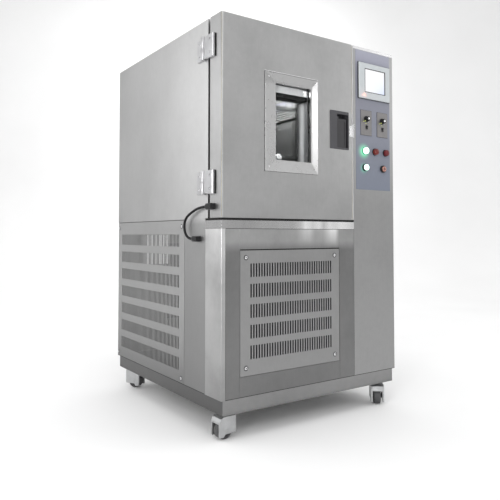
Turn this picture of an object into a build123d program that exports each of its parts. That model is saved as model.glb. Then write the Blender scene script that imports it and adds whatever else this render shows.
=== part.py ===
from build123d import *
import math
import os

# Free-standing environmental test chamber: a stainless cabinet on four swivel
# casters, an insulated door with a window over a grilled machine compartment,
# and a full-height control column at the right of the front.
# Millimetres.  Working axes: X to the right along the front (0 at the left
# side), Y to the rear (0 at the front face), Z up (0 at the top of the plinth).
# place() moves everything to the row frame: X and Y centred, casters on Z = 0.

# ------------------------------------------------------------------ dimensions
W, D, H = 840.0, 897.0, 1300.0      # cabinet above the plinth
T = 1.5                             # outer sheet
PLINTH_H = 51.0
CASTER_H = 90.0
FLOOR = PLINTH_H + CASTER_H         # floor to the top of the plinth
BX0, BX1, BY0, BY1 = 8.0, 829.0, 4.0, 889.0     # plinth, outside

# centre of the overall box in the working axes (without the door cable)
CX, CY = (W - 19.0) / 2.0, (D + 22.0 - 20.0) / 2.0

# door
DOOR_X1 = 608.0                     # right edge; left edge is X = 0
DOOR_Z0, DOOR_Z1 = 605.3, 1300.0
DOOR_T = 76.0                       # front to back sheet
BODY_Y = 88.0                       # cabinet's front flange behind the door
COL_X0 = 611.5                      # control column, left edge

# chamber (clear inside)
CH_X0, CH_X1 = 100.0, 500.0
CH_Z0, CH_Z1 = 705.0, 1205.0
CH_Y1 = 588.0
BAFFLE_Y = 488.0

# hinge axis (vertical), leaves
HG_X, HG_Y = -10.0, 107.0
HG_R, HG_PIN, HG_PLAY = 9.0, 4.0, 0.05
HINGES = ((1155.5, 1237.5), (686.5, 768.5))

# window
WF_X0, WF_X1, WF_Z0, WF_Z1 = 178.0, 424.5, 772.0, 1126.0    # frame, outside
WO_X0, WO_X1, WO_Z0, WO_Z1 = 221.4, 385.0, 813.5, 1088.0    # clear opening
SL = 7.0                            # sleeve is this much larger than the opening

# flush handle
HH_X0, HH_X1, HH_Z0, HH_Z1 = 488.0, 585.0, 878.5, 1027.0
HR_X0, HR_X1, HR_Z0, HR_Z1 = 522.0, 582.5, 885.0, 1015.0    # recess
PAD_X, PAD_Y = 527.0, 4.5           # paddle's pivot

# lower front
BAND_Z0, BAND_Z1 = 569.0, 597.0
GR_X0, GR_X1, GR_Z0, GR_Z1 = 76.0, 531.0, 69.0, 497.0
SLOT_W = 5.6

# side vent panel
VP_Y0, VP_Y1, VP_Z0, VP_Z1 = 258.0, 894.0, 2.0, 601.0

# control panel
OV_X0, OV_X1, OV_Z0, OV_Z1 = 625.0, 820.5, 728.0, 1288.0
BZ_X0, BZ_X1, BZ_Z0, BZ_Z1 = 637.0, 815.5, 1094.0, 1238.0
LCD_X0, LCD_X1, LCD_Z0, LCD_Z1 = 671.0, 785.0, 1122.0, 1214.0
PLATES = ((652.0, 712.0, 947.0, 1047.0), (745.0, 805.0, 947.0, 1047.0))
KNOBS = ((681.0, 1012.0), (772.0, 1012.0))
ROCKERS = ((684.0, 979.0), (775.0, 979.0))
LAMPS = ((673.7, 883.5), (731.0, 883.5), (792.5, 883.5))
BUTTONS = ((673.7, 816.5), (776.5, 816.5))
R_HOLE, R_COLLAR, R_CAP = 11.2, 14.5, 11.5

# casters: plate centre, direction from the swivel axis to the wheel
C_R, C_W, C_E = 30.0, 27.0, 20.0    # wheel radius, width, offset from the swivel
CASTERS = {
    "front_left": (60.0, 54.0, -1.0, -0.04),
    "front_right": (786.0, 54.0, -0.63, -0.78),
    "rear_left": (52.0, 850.0, 0.56, -0.83),
    "rear_right": (786.0, 850.0, 0.3, -0.95),
}

# door cable: route points (X, Y, Z) from the door's gland to the cabinet's
CABLE_D = 9.0
CABLE = [(-11.0, 80.0, 644.0), (-11.5, 128.0, 643.0), (-13.5, 178.0, 628.0), (-15.0, 219.0, 608.8),
         (-15.5, 232.3, 581.6), (-14.5, 225.7, 552.0), (-12.0, 202.1, 533.0), (-11.0, 175.0, 533.0)]

FAN_X, FAN_Z = 300.0, 975.0         # circulation fan axis
CF_X, CF_Z = 300.0, 285.0           # condenser fan axis

os.makedirs("parts", exist_ok=True)
NODES = {}


def bx(x0, x1, y0, y1, z0, z1):
    return Pos((x0 + x1) / 2, (y0 + y1) / 2, (z0 + z1) / 2) * Box(x1 - x0, y1 - y0, z1 - z0)


def cz(x, y, z0, z1, r):
    return Pos(x, y, (z0 + z1) / 2) * Cylinder(r, z1 - z0)


def cy(x, z, y0, y1, r):
    return Pos(x, (y0 + y1) / 2, z) * Rot(90, 0, 0) * Cylinder(r, y1 - y0)


def cx(y, z, x0, x1, r):
    return Pos((x0 + x1) / 2, y, z) * Rot(0, 90, 0) * Cylinder(r, x1 - x0)


def one(shape):
    """The single solid of a boolean result."""
    s = shape.solids()
    s.sort(key=lambda q: -q.volume)
    return s[0]


def group(shapes):
    out = []
    for s in shapes:
        out += list(s.solids())
    return Compound(children=[Solid(s.wrapped) if not isinstance(s, Solid) else s for s in out])


def place(shape):
    return Pos(-CX, -CY, FLOOR) * shape


def add(name, shape):
    NODES[name] = place(shape)


# sheet in the X-Z plane (front panels) or the Y-Z plane (side panels), with
# inner outlines, extruded through its thickness
def rect_w(a0, a1, b0, b1, side=False):
    p = [(a0, b0), (a1, b0), (a1, b1), (a0, b1)]
    return Wire.make_polygon([(0, a, b) if side else (a, 0, b) for a, b in p], close=True)


def circ_w(a, b, r, side=False):
    pl = Plane(origin=(0, a, b), z_dir=(1, 0, 0)) if side else Plane(origin=(a, 0, b), z_dir=(0, 1, 0))
    return Wire.make_circle(r, pl)


def slot_w(a, b0, b1, w, side=False):
    """Upright slot with round ends, centred on a, from b0 to b1."""
    r = w / 2

    def p(u, v):
        return (0, u, v) if side else (u, 0, v)
    e = [Edge.make_line(p(a - r, b0 + r), p(a - r, b1 - r)),
         Edge.make_three_point_arc(p(a - r, b1 - r), p(a, b1), p(a + r, b1 - r)),
         Edge.make_line(p(a + r, b1 - r), p(a + r, b0 + r)),
         Edge.make_three_point_arc(p(a + r, b0 + r), p(a, b0), p(a - r, b0 + r))]
    return Wire(e)


def sheet(outer, inners, t0, t1, side=False):
    f = Face(outer, inners)
    n = Vector(1, 0, 0) if side else Vector(0, 1, 0)
    s = Solid.extrude(f, n * (t1 - t0))
    return Pos(t0, 0, 0) * s if side else Pos(0, t0, 0) * s


# ------------------------------------------------------------------ base frame
frame = bx(2.1, 838, 2.1, D - T, 0, 2)
frame += bx(BX0, BX1, BY0, BY1, -PLINTH_H, 0) - bx(BX0 + 3, BX1 - 3, BY0 + 3, BY1 - 3, -PLINTH_H - 1, 0)
for k, (px, py, ux, uy) in CASTERS.items():
    pad = bx(px - 40, px + 40, py - 40, py + 40, -PLINTH_H, -PLINTH_H + 3)
    pad = pad & bx(BX0 + 1, BX1 - 1, BY0 + 1, BY1 - 1, -PLINTH_H, -PLINTH_H + 3)
    frame += pad
    frame -= cz(px, py, -PLINTH_H - 1, -PLINTH_H + 4, 12)
frame += bx(BX0 + 1, BX0 + 12, BY0 + 1, BY1 - 1, -PLINTH_H, -PLINTH_H + 3)
frame += bx(BX1 - 12, BX1 - 1, BY0 + 1, BY1 - 1, -PLINTH_H, -PLINTH_H + 3)
for (x0, y0) in ((20, 110), (18, 862), (811, 110), (811, 862)):
    frame += bx(x0, x0 + 25, y0, y0 + 25, 1, 600)
frame += bx(16, 837, 106, 894, 598, 603)
for k, (px, py, ux, uy) in CASTERS.items():
    for sx in (-28, 28):
        for sy in (-28, 28):
            frame -= cz(px + sx, py + sy, -PLINTH_H - 1, -PLINTH_H + 4, 4.2)
add("base_frame", one(frame))

# ------------------------------------------------------------------ casters
PZ = -PLINTH_H                      # underside of the plinth
FZ = -FLOOR                         # floor
plates = []
for k, (px, py, ux, uy) in CASTERS.items():
    p = bx(px - 37, px + 37, py - 37, py + 37, PZ - 5, PZ) + cz(px, py, PZ - 11, PZ - 4, 22)
    p -= cz(px, py, PZ - 12, PZ + 1, 8.05)
    for sx in (-28, 28):
        for sy in (-28, 28):
            p -= cz(px + sx, py + sy, PZ - 12, PZ + 1, 4.2)
    plates.append(one(p))
add("caster_plates", group(plates))


def caster(px, py, ux, uy):
    """Cast hooded housing with two cheeks and its axle, and the wheel."""
    a = math.degrees(math.atan2(uy, ux))
    zt = PZ - 11.4
    hood = [(-16, zt), (34, zt), (44, FZ + 73), (50, FZ + 62), (50, FZ + 55), (44, FZ + 55), (43, FZ + 61), (37, FZ + 68),
            (30, zt - 8), (-11, zt - 8), (-11, FZ + 40), (-16, FZ + 40)]
    side = [(-16, zt), (34, zt), (44, FZ + 73), (50, FZ + 62), (50, FZ + 12), (33, FZ + 12), (27, FZ + 21), (-13, FZ + 22),
            (-16, FZ + 26)]

    def slab(prof, v0, v1):
        w = Wire.make_polygon([(u, v0, z) for u, z in prof], close=True)
        return Solid.extrude(Face(w), Vector(0, v1 - v0, 0))
    h = slab(hood, -26, 26) + slab(side, -26, -19.5) + slab(side, 19.5, 26)
    h += cz(0, 0, zt - 8, zt, 20) + cz(0, 0, zt - 1, PZ - 1, 8)
    h += cy(C_E, FZ + C_R, -20, 20, 4.0)
    for s in (-1, 1):
        h += cy(C_E, FZ + C_R, s * 26 - 1.2, s * 26 + 1.2, 6.0)
    wheel = cy(C_E, FZ + C_R, -C_W / 2, C_W / 2, C_R)
    wheel = wheel.fillet(3.0, wheel.edges().filter_by(GeomType.CIRCLE))
    for s in (-1, 1):
        ring = cy(C_E, FZ + C_R, s * (C_W / 2) - 3, s * (C_W / 2) + 3, 22) - cy(C_E, FZ + C_R, s * 14 - 4, s * 14 + 4, 9)
        wheel -= ring
    wheel += cy(C_E, FZ + C_R, -19.1, 19.1, 8.0)
    wheel -= cy(C_E, FZ + C_R, -20, 20, 4.05)
    t = Pos(px, py, 0) * Rot(0, 0, a)
    return t * one(h), t * one(wheel)


for k, (px, py, ux, uy) in CASTERS.items():
    h, wl = caster(px, py, ux, uy)
    add("caster_housing_" + k, h)
    add("caster_wheel_" + k, wl)

# ------------------------------------------------------------------ outer panels
shell = bx(0, W, BODY_Y, D, H - T, H) + bx(COL_X0, W, T, BODY_Y, H - T, H)
shell += bx(W - T, W, T, D, 0, H)
shell += bx(0, T, BODY_Y, 106, 605, H) + bx(0, T, 105.5, D, 603, H)
shell += bx(0, T, 105.5, 256, 0, 604)
shell -= bx(-1, 0.7, 107, 256, 602.4, 603.4)      # seam line
shell += bx(0, 10, 256, D - T, 603.2, 604.7)
add("cabinet_shell", one(shell))

# rear panel with exhaust slots in its lower half, mains gland hole
inner = []
REAR_SCREWS = [(x, z) for x in (20.0, 420.0, 820.0) for z in (30.0, 620.0, 1270.0)]
for z1 in (500.0, 425.0, 350.0, 275.0, 200.0):
    for i in range(33):
        inner.append(slot_w(236 + i * 11.5, z1 - 48, z1, SLOT_W))
for (x, z) in REAR_SCREWS:
    inner.append(circ_w(x, z, 2.6))
inner.append(circ_w(720, 120, 10.1))
add("rear_panel", sheet(rect_w(T + 0.3, W - T - 0.3, 2.3, H - T - 0.3), inner, D - T, D))

post = bx(0, 16, 0, 105, 0, BAND_Z0 - 0.5) - bx(2, 17, 2, 104, -1, BAND_Z0 + 1) - bx(2, 17, 103, 106, -1, BAND_Z0 + 1)
post = post - bx(14, 17, 2, 106, -1, BAND_Z0 + 1)
post = one(post)
edge = post.edges().filter_by(Axis.Z).sort_by_distance(Vector(0, 0, 284))[0]
post = post.fillet(1.9, [edge])
add("corner_post", post)

# front frame: stiles, header and bottom rail in one plane, with the polished
# sill band above that wraps round the left side and carries the sill sheet
inner = [rect_w(GR_X0 - 1.0, GR_X1 + 1.0, GR_Z0 - 1.0, GR_Z1 + 1.0)]
lff = sheet(rect_w(16.6, COL_X0 - 1.2, 0.2, BAND_Z0), inner, 0, T)
for x in (72.0, 533.0):
    lff -= bx(x - 0.6, x + 0.6, -1, 0.8, 0.5, BAND_Z0 - 0.5)
lff += bx(-0.8, COL_X0 - 1.2, -1.2, T, BAND_Z0, BAND_Z1)
lff += bx(-0.8, T, -1.2, 104, BAND_Z0, BAND_Z1)
lff += bx(-0.8, COL_X0 - 1.2, -1.2, 104, BAND_Z1 - T, BAND_Z1)
for z0, z1 in ((GR_Z1 + 1, BAND_Z0), (0.2, GR_Z0 - 1)):
    lff += bx(60, 550, T - 0.5, 22, z1 - 3.5, z1 - 2)
add("lower_front_frame", one(lff))

# front grille
inner = []
pitch = (490.5 - 117.8 - SLOT_W) / 32
for z1 in (449.9, 380.1, 310.3, 240.5, 170.7):
    for i in range(33):
        inner.append(slot_w(117.8 + SLOT_W / 2 + i * pitch, z1 - 47.5, z1, SLOT_W))
FRONT_SCREWS = [(99.5, 470.0), (507.5, 470.0), (99.5, 95.5), (507.5, 95.5)]
for (x, z) in FRONT_SCREWS:
    inner.append(circ_w(x, z, 2.6))
gz1 = GR_Z1 - 3.0                   # a finger's gap is left along its top
grille = sheet(rect_w(GR_X0, GR_X1, GR_Z0, gz1), inner, 0.4, 0.4 + T)
grille += bx(GR_X0, GR_X0 + T, 0.4, 16, GR_Z0, gz1) + bx(GR_X1 - T, GR_X1, 0.4, 16, GR_Z0, gz1)
grille += bx(GR_X0, GR_X1, 0.4, 16, GR_Z0, GR_Z0 + T) + bx(GR_X0, GR_X1, 0.4, 16, gz1 - T, gz1)
add("front_grille", one(grille))

# side vent panel
inner = []
pitch = (852.0 - 300.6 - SLOT_W) / 47
for r in range(7):
    z1 = 549.5 - 76.07 * r
    for i in range(48):
        inner.append(slot_w(300.6 + SLOT_W / 2 + i * pitch, z1 - 47.7, z1, SLOT_W, side=True))
SIDE_SCREWS = [(281.0, 578.0), (883.0, 577.0), (281.0, 18.5), (883.0, 19.0)]
for (y, z) in SIDE_SCREWS:
    inner.append(circ_w(y, z, 2.6, side=True))
vent = sheet(rect_w(VP_Y0, VP_Y1, VP_Z0, VP_Z1, side=True), inner, 0.2, 0.2 + T, side=True)
vent += bx(0.2, 14, VP_Y0, VP_Y0 + T, VP_Z0 + 8, VP_Z1) + bx(0.2, 14, VP_Y0, VP_Y1, VP_Z1 - T, VP_Z1)
add("side_vent_panel", one(vent))

# oval-head screws of the removable panels
SR, SH = 6.2, 2.6
screws = []


def screw():
    """Head up +Z from z = 0, shank down."""
    R = (SR * SR + SH * SH) / (2 * SH)
    head = Pos(0, 0, SH - R) * Sphere(R) & Pos(0, 0, SH / 2) * Cylinder(SR + 1, SH)
    s = head + Pos(0, 0, -3.5) * Cylinder(2.5, 7.2)
    s -= Pos(0, 0, SH) * Box(1.2, 6.0, 2.2)
    s -= Pos(0, 0, SH) * Box(6.0, 1.2, 2.2)
    return one(s)


base_screw = screw()
for (x, z) in FRONT_SCREWS:
    screws.append(Pos(x, 0.4, z) * Rot(90, 0, 0) * base_screw)
for (y, z) in SIDE_SCREWS:
    screws.append(Pos(0.2, y, z) * Rot(0, -90, 0) * base_screw)
for (x, z) in REAR_SCREWS:
    screws.append(Pos(x, D, z) * Rot(-90, 0, 0) * base_screw)
add("panel_screws", group(screws))

# ------------------------------------------------------------------ control column
holes = [rect_w(651, 801, 1108, 1226)]
for (x, z) in LAMPS + BUTTONS:
    holes.append(circ_w(x, z, R_HOLE))
for (x, z) in KNOBS:
    holes.append(circ_w(x, z, 3.6))
for (x, z) in ROCKERS:
    holes.append(rect_w(x - 6.2, x + 6.2, z - 9.0, z + 9.0))
col = sheet(rect_w(COL_X0, W, 0, H), holes, 0, T)
col += bx(COL_X0, COL_X0 + T, 0.5, BODY_Y - 0.3, 2.2, H - T - 0.2)
col = one(col)
add("control_column", col)
ov = sheet(rect_w(OV_X0, OV_X1, OV_Z0, OV_Z1), holes, -0.6, 0)
add("control_overlay", one(ov))

bz = bx(BZ_X0, BZ_X1, -9, -0.6, BZ_Z0, BZ_Z1)
bz = bz.fillet(3.0, bz.edges().filter_by(Axis.Y))
bz = bz.chamfer(2.5, None, bz.faces().sort_by(Axis.Y)[0].outer_wire().edges())
bz = one(bz) + bx(651.3, 800.7, -1, 34, 1108.3, 1225.7)
bz -= bx(LCD_X0, LCD_X1, -10, -3.5, LCD_Z0, LCD_Z1)
bz -= bx(659, 793, 4, 36, 1116, 1218)
add("screen_bezel", one(bz))
add("touch_screen", bx(LCD_X0 + 0.2, LCD_X1 - 0.2, -6.0, -3.5, LCD_Z0 + 0.2, LCD_Z1 - 0.2))

tp = []
for i, (x0, x1, z0, z1) in enumerate(PLATES):
    kx, kz = KNOBS[i]
    rx, rz = ROCKERS[i]
    p = sheet(rect_w(x0, x1, z0, z1), [circ_w(kx, kz, 3.05), rect_w(rx - 5.4, rx + 5.4, rz - 8.2, rz + 8.2)], -2.6, -0.6)
    tp.append(one(p))
add("thermostat_plates", group(tp))

for i, (kx, kz) in enumerate(KNOBS):
    k = cy(kx, kz, -6.5, -3.1, 12.5) + cy(kx, kz, -20, -6, 9.6)
    k = one(k)
    k = k.fillet(1.5, k.faces().sort_by(Axis.Y)[0].edges())
    for j in range(18):
        a = math.radians(20 * j)
        k -= cy(kx + 10.2 * math.cos(a), kz + 10.2 * math.sin(a), -21, -8, 1.1)
    k += cy(kx, kz, -4, 12, 3.0)
    k -= bx(kx - 0.7, kx + 0.7, -21, -19, kz + 1, kz + 10)
    add("thermostat_knob_" + ("left", "right")[i], one(k))

for i, (rx, rz) in enumerate(ROCKERS):
    prof = [(-7.0, 6.3), (-5.2, 0), (-7.0, -6.3), (-1.0, -4.4), (1.5, -2.0), (1.5, 2.0), (-1.0, 4.4)]
    w = Wire.make_polygon([(0, y, z) for y, z in prof], close=True)
    r = Pos(-4.8, 0, 0) * Solid.extrude(Face(w), Vector(9.6, 0, 0))
    r += cx(0, 0, -4.8, 4.8, 5.2)       # the barrel it turns on
    r = Pos(rx, 1.0, rz) * Rot(8, 0, 0) * r
    add("thermostat_rocker_" + ("left", "right")[i], one(r))

lamps = []
for (x, z) in LAMPS:
    s = cy(x, z, -4.5, -0.6, R_COLLAR) + cy(x, z, -14, -4, 12.6)
    s = one(s)
    dome = Pos(x, 8.0, z) * Sphere(26.0) & cy(x, z, -19, -13, 12.6)
    s += dome
    s += cy(x, z, -1, 34, 11.0)
    lamps.append(one(s))
add("pilot_lamps", group(lamps))

collars = []
for (x, z) in BUTTONS:
    s = cy(x, z, -8.5, -0.6, R_COLLAR)
    s = s.chamfer(1.2, None, s.faces().sort_by(Axis.Y)[0].edges())
    s = one(s) + cy(x, z, -1, 34, 11.0)
    s -= cy(x, z, -10, -0.8, R_CAP + 0.06)
    s -= cy(x, z, -2, 30, 5.26)
    collars.append(one(s))
add("button_collars", group(collars))
for i, (x, z) in enumerate(BUTTONS):
    s = cy(x, z, -12.5, -4.2, R_CAP)
    s = one(s)
    s += Pos(x, 8.0, z) * Sphere(24.4) & cy(x, z, -17, -12, R_CAP)
    s += cy(x, z, -5, 18, 5.2)
    add(("start_button", "stop_button")[i], one(s))

# ------------------------------------------------------------------ chamber
liner = bx(CH_X0 - 1.2, CH_X1 + 1.2, BODY_Y, CH_Y1 + 1.2, CH_Z0 - 1.2, CH_Z1 + 1.2)
liner += bx(T + 0.3, COL_X0 - 0.5, BODY_Y, BODY_Y + 1.5, 605.0, H - T - 0.3)
liner -= bx(CH_X0, CH_X1, BODY_Y - 1, CH_Y1, CH_Z0, CH_Z1)
liner -= cy(FAN_X, FAN_Z, CH_Y1 - 1, CH_Y1 + 3, 7.5)
LEDGES = (840.0, 1030.0)
for z in LEDGES:
    liner += bx(CH_X0 - 0.1, CH_X0 + 8, 110, 480, z - 2, z)
    liner += bx(CH_X1 - 8, CH_X1 + 0.1, 110, 480, z - 2, z)
add("chamber_liner", one(liner))

ins = bx(2.0, COL_X0 - 1.0, BODY_Y + 2.0, 690, 604.9, H - T - 0.6)
ins -= bx(CH_X0 - 1.6, CH_X1 + 1.6, BODY_Y - 1, CH_Y1 + 1.6, CH_Z0 - 1.6, CH_Z1 + 1.6)
ins -= cy(FAN_X, FAN_Z, CH_Y1, 700, 9.0)
ins -= bx(0, 12, 250, 700, 600, 606)
add("cabinet_insulation", one(ins))

inner = [circ_w(FAN_X, FAN_Z, 62)]
for x in range(9):
    for z0 in (722.0, 1150.0):
        inner.append(rect_w(126 + x * 40, 150 + x * 40, z0, z0 + 34))
baf = sheet(rect_w(CH_X0 + 0.5, CH_X1 - 0.5, CH_Z0 + 0.5, CH_Z1 - 0.5), inner, BAFFLE_Y, BAFFLE_Y + 1.2)
for i in range(5):
    baf += bx(FAN_X - 63, FAN_X + 63, BAFFLE_Y, BAFFLE_Y + 1.2, FAN_Z - 44 + 22 * i, FAN_Z - 41 + 22 * i)
    baf += bx(FAN_X - 44 + 22 * i, FAN_X - 41 + 22 * i, BAFFLE_Y, BAFFLE_Y + 1.2, FAN_Z - 63, FAN_Z + 63)
baf += bx(CH_X0 + 0.5, CH_X0 + 2, BAFFLE_Y, BAFFLE_Y + 20, CH_Z0 + 0.5, CH_Z1 - 0.5)
baf += bx(CH_X1 - 2, CH_X1 - 0.5, BAFFLE_Y, BAFFLE_Y + 20, CH_Z0 + 0.5, CH_Z1 - 0.5)
add("air_baffle", one(baf))

shelves = []
for i, z in enumerate(LEDGES):
    def xy(a0, a1, b0, b1):
        return Wire.make_polygon([(a0, b0, 0), (a1, b0, 0), (a1, b1, 0), (a0, b1, 0)], close=True)
    inner = [xy(112 + c * 27.0, 132 + c * 27.0, 132 + r * 58.0, 182 + r * 58.0) for c in range(14) for r in range(6)]
    f = Face(xy(101.5, 498.5, 116, 482), inner)
    s = Pos(0, 0, z + 0.2) * Solid.extrude(f, Vector(0, 0, 2))
    s += bx(101.5, 498.5, 116, 118, z + 0.2, z + 12)
    s += bx(101.5, 498.5, 480, 482, z + 0.2, z + 12)
    shelves.append(one(s))
add("shelves", group(shelves))

# circulation fan: radial wheel on a long shaft, motor outside the insulation
imp = cy(FAN_X, FAN_Z, 548, 551, 76) + cy(FAN_X, FAN_Z, 515, 551, 14)
for j in range(14):
    a = 360.0 / 14 * j
    imp += Pos(FAN_X, 0, FAN_Z) * Rot(0, a, 0) * Pos(58, 530, 0) * Rot(0, 30, 0) * Box(34, 38, 2.0)
imp += cy(FAN_X, FAN_Z, 514, 765, 6.0)
add("fan_impeller", one(imp))
mot = cy(FAN_X, FAN_Z, 692, 780, 58) + cy(FAN_X, FAN_Z, 690.2, 700, 72)
mot = one(mot)
mot = mot.fillet(5, mot.faces().sort_by(Axis.Y)[-1].edges())
for j in range(12):
    a = math.radians(30 * j)
    mot -= cy(FAN_X + 60 * math.cos(a), FAN_Z + 60 * math.sin(a), 704, 772, 3.0)
mot -= cy(FAN_X, FAN_Z, 689, 768, 6.06)
add("fan_motor", one(mot))

pts = [(-165, 0)]
for i in range(5):
    z0 = 16 * i
    pts += [(165, z0), (165, z0 + 16)] if i % 2 == 0 else [(-165, z0), (-165, z0 + 16)]
pts = [(FAN_X + a, 540.0, 1090.0 + b) for a, b in pts]
path = FilletPolyline(*pts, radius=7.0)
heater = sweep(Plane(origin=path @ 0, z_dir=path % 0) * Circle(3.5), path=path)
add("heater_coil", one(heater))

core = bx(130, 470, 520, 526, 716, 850)
for i in range(43):
    core += bx(130 + i * 8.07, 131.2 + i * 8.07, 500, 546, 716, 850)
for j in range(4):
    core += cx(533, 734 + 34 * j, 124, 476, 5.0) + cx(511, 734 + 34 * j, 124, 476, 5.0)
add("evaporator", one(core))

# ------------------------------------------------------------------ machine compartment
comp = cz(330, 620, 60, 270, 92)
comp = one(comp)
comp = comp.fillet(38, comp.faces().sort_by(Axis.Z)[-1].edges())
comp = comp.fillet(28, comp.faces().sort_by(Axis.Z)[0].edges())
comp = comp + bx(225, 435, 560, 680, 30, 34) + cz(330, 620, 33, 62, 50)
for sx in (-92, 92):
    for sy in (-46, 46):
        comp += cz(330 + sx, 620 + sy, 2, 31, 13)
comp += cx(620, 200, 415, 450, 9) + cz(330, 700, 120, 170, 8) + cy(330, 145, 700, 705, 8) + cy(330, 145, 660, 705, 8)
add("compressor", one(comp))

cond = bx(96, 504, 70, 74, 90, 480)
for i in range(50):
    cond += bx(96 + i * 8.3, 97.2 + i * 8.3, 50, 100, 90, 480)
for j in range(9):
    cond += cx(62, 110 + 43 * j, 90, 510, 5) + cx(88, 110 + 43 * j, 90, 510, 5)
cond += bx(96, 140, 60, 100, 2, 91) + bx(460, 504, 60, 100, 2, 91)
add("condenser", one(cond))
shr = bx(96, 504, 101, 103, 90, 480) - cy(CF_X, CF_Z, 100, 104, 150)
shr += bx(96, 98, 100, 103, 90, 480) + bx(502, 504, 100, 103, 90, 480)
shr += cy(CF_X, CF_Z, 102, 190, 156) - cy(CF_X, CF_Z, 100, 192, 152)
shr += bx(CF_X - 154, CF_X + 154, 184, 190, CF_Z - 8, CF_Z + 8) + bx(CF_X - 8, CF_X + 8, 184, 190, CF_Z - 154, CF_Z + 154)
shr += cy(CF_X, CF_Z, 168, 232, 38)
shr -= cy(CF_X, CF_Z, 160, 222, 6.06)
add("condenser_shroud", one(shr))
cf = cy(CF_X, CF_Z, 118, 160, 42) + cy(CF_X, CF_Z, 118, 218, 6.0)
for j in range(5):
    cf += Pos(CF_X, 0, CF_Z) * Rot(0, 72 * j, 0) * Pos(90, 138, 0) * Rot(32, 0, 0) * Box(104, 2.5, 62)
cf = one(cf & cy(CF_X, CF_Z, 100, 230, 147))
add("condenser_fan", cf)

chs = bx(620, 622, 130, 860, 640, 1260)
for z in (740, 900, 1060):
    chs += bx(622, 630, 160, 700, z - 17, z + 17)
for z, ys in ((740, (180, 245, 310, 375, 460, 560)), (900, (180, 250, 330, 410, 490, 580)), (1060, (180, 300, 420, 520))):
    for y in ys:
        chs += bx(629, 692, y, y + 45, z - 38, z + 38)
chs += bx(622, 720, 720, 840, 700, 820)
add("control_chassis", one(chs))

gl = cy(720, 120, D - 20, D + 1, 10.0) + (Pos(720, D + 4, 120) * Rot(90, 0, 0) * extrude(RegularPolygon(14, 6), 4, both=True))
gl += cy(720, 120, D + 7, D + 22, 11.5)
gl -= cy(720, 120, D - 21, D + 23, 5.5)
add("mains_gland", one(gl))

# ------------------------------------------------------------------ sill gasket
sg = bx(0.6, COL_X0 - 3.5, 0.8, 103.5, BAND_Z1, 604.6) - bx(12, COL_X0 - 2, 14, 105, BAND_Z1 - 1, 605)
sg = one(sg)
add("sill_gasket", sg)

# ------------------------------------------------------------------ door
ds = bx(0, DOOR_X1, 0, DOOR_T - T, DOOR_Z0, DOOR_Z1)
ds = ds.fillet(7.0, [e for e in ds.edges().filter_by(Axis.Z) if e.center().Y < 1])
ds -= bx(T, DOOR_X1 - T, T, DOOR_T, DOOR_Z0 + T, DOOR_Z1 - T)
ds -= bx(WO_X0 - 10, WO_X1 + 10, -1, 5, WO_Z0 - 10, WO_Z1 + 10)
ds -= bx(HH_X0 + 2.7, HH_X1 - 1.5, -1, 5, HH_Z0 + 2.7, HH_Z1 - 2.7)
add("door_shell", one(ds))

ip = bx(1.0, DOOR_X1 - 1.0, DOOR_T - T, DOOR_T, DOOR_Z0 + 1, DOOR_Z1 - 1)
ip += bx(108, 492, DOOR_T - 0.2, DOOR_T + 9, 713, 1197) - bx(110, 490, DOOR_T - 1, DOOR_T + 7.5, 715, 1195)
ip -= bx(WO_X0 + 1, WO_X1 - 1, DOOR_T - 3, DOOR_T + 12, WO_Z0 + 1, WO_Z1 - 1)
add("door_inner_pan", one(ip))

di = bx(T + 0.3, DOOR_X1 - T - 0.3, T + 0.3, DOOR_T - T - 0.3, DOOR_Z0 + T + 0.3, DOOR_Z1 - T - 0.3)
di -= bx(0, 9, 0, 9, 600, 1301) - cz(9, 9, 600, 1301, 6.5)
di -= bx(WO_X0 - SL - 2.5, WO_X1 + SL + 2.5, 0, DOOR_T, WO_Z0 - SL - 2.5, WO_Z1 + SL + 2.5)
di -= bx(HH_X0 + 2, DOOR_X1, 0, 34, HH_Z0 + 2, HH_Z1 - 2)
add("door_insulation", one(di))

dg = bx(76, 524, DOOR_T, 87.6, 681, 1229) - bx(94, 506, DOOR_T - 1, 88, 699, 1211)
dg = one(dg)
add("door_gasket", dg)

# window: bevelled frame with a sleeve through the door
def ring_loft(y0, a, y1, b):
    """Solid between rectangle a at y0 and rectangle b at y1 (x0, x1, z0, z1)."""
    wa = Wire.make_polygon([(a[0], y0, a[2]), (a[1], y0, a[2]), (a[1], y0, a[3]), (a[0], y0, a[3])], close=True)
    wb = Wire.make_polygon([(b[0], y1, b[2]), (b[1], y1, b[2]), (b[1], y1, b[3]), (b[0], y1, b[3])], close=True)
    return Solid.make_loft([wa, wb], ruled=True)


wf = bx(WF_X0, WF_X1, -2.5, 0, WF_Z0, WF_Z1)
wf += ring_loft(-2.5, (WF_X0, WF_X1, WF_Z0, WF_Z1), -8.0, (WO_X0 - 6, WO_X1 + 6, WO_Z0 - 6, WO_Z1 + 6))
wf += bx(WO_X0 - SL - 2, WO_X1 + SL + 2, -1, DOOR_T - T, WO_Z0 - SL - 2, WO_Z1 + SL + 2)
wf -= bx(WO_X0, WO_X1, -9, DOOR_T, WO_Z0, WO_Z1)
wf -= bx(WO_X0 - SL, WO_X1 + SL, 3, DOOR_T, WO_Z0 - SL, WO_Z1 + SL)
wf = one(wf)
WSCREWS = [(194.5, 789.0), (408.0, 789.0), (194.5, 1109.0), (408.0, 1109.0)]
for (x, z) in WSCREWS:
    wf -= cy(x, z, -10, 2, 2.05)
add("window_frame", one(wf))
PA = (WO_X0 - SL + 0.3, WO_X1 + SL - 0.3, WO_Z0 - SL + 0.3, WO_Z1 + SL - 0.3)
add("window_panes", group([bx(PA[0], PA[1], 3.2, 9.2, PA[2], PA[3]), bx(PA[0], PA[1], 68.3, 74.3, PA[2], PA[3])]))
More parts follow.
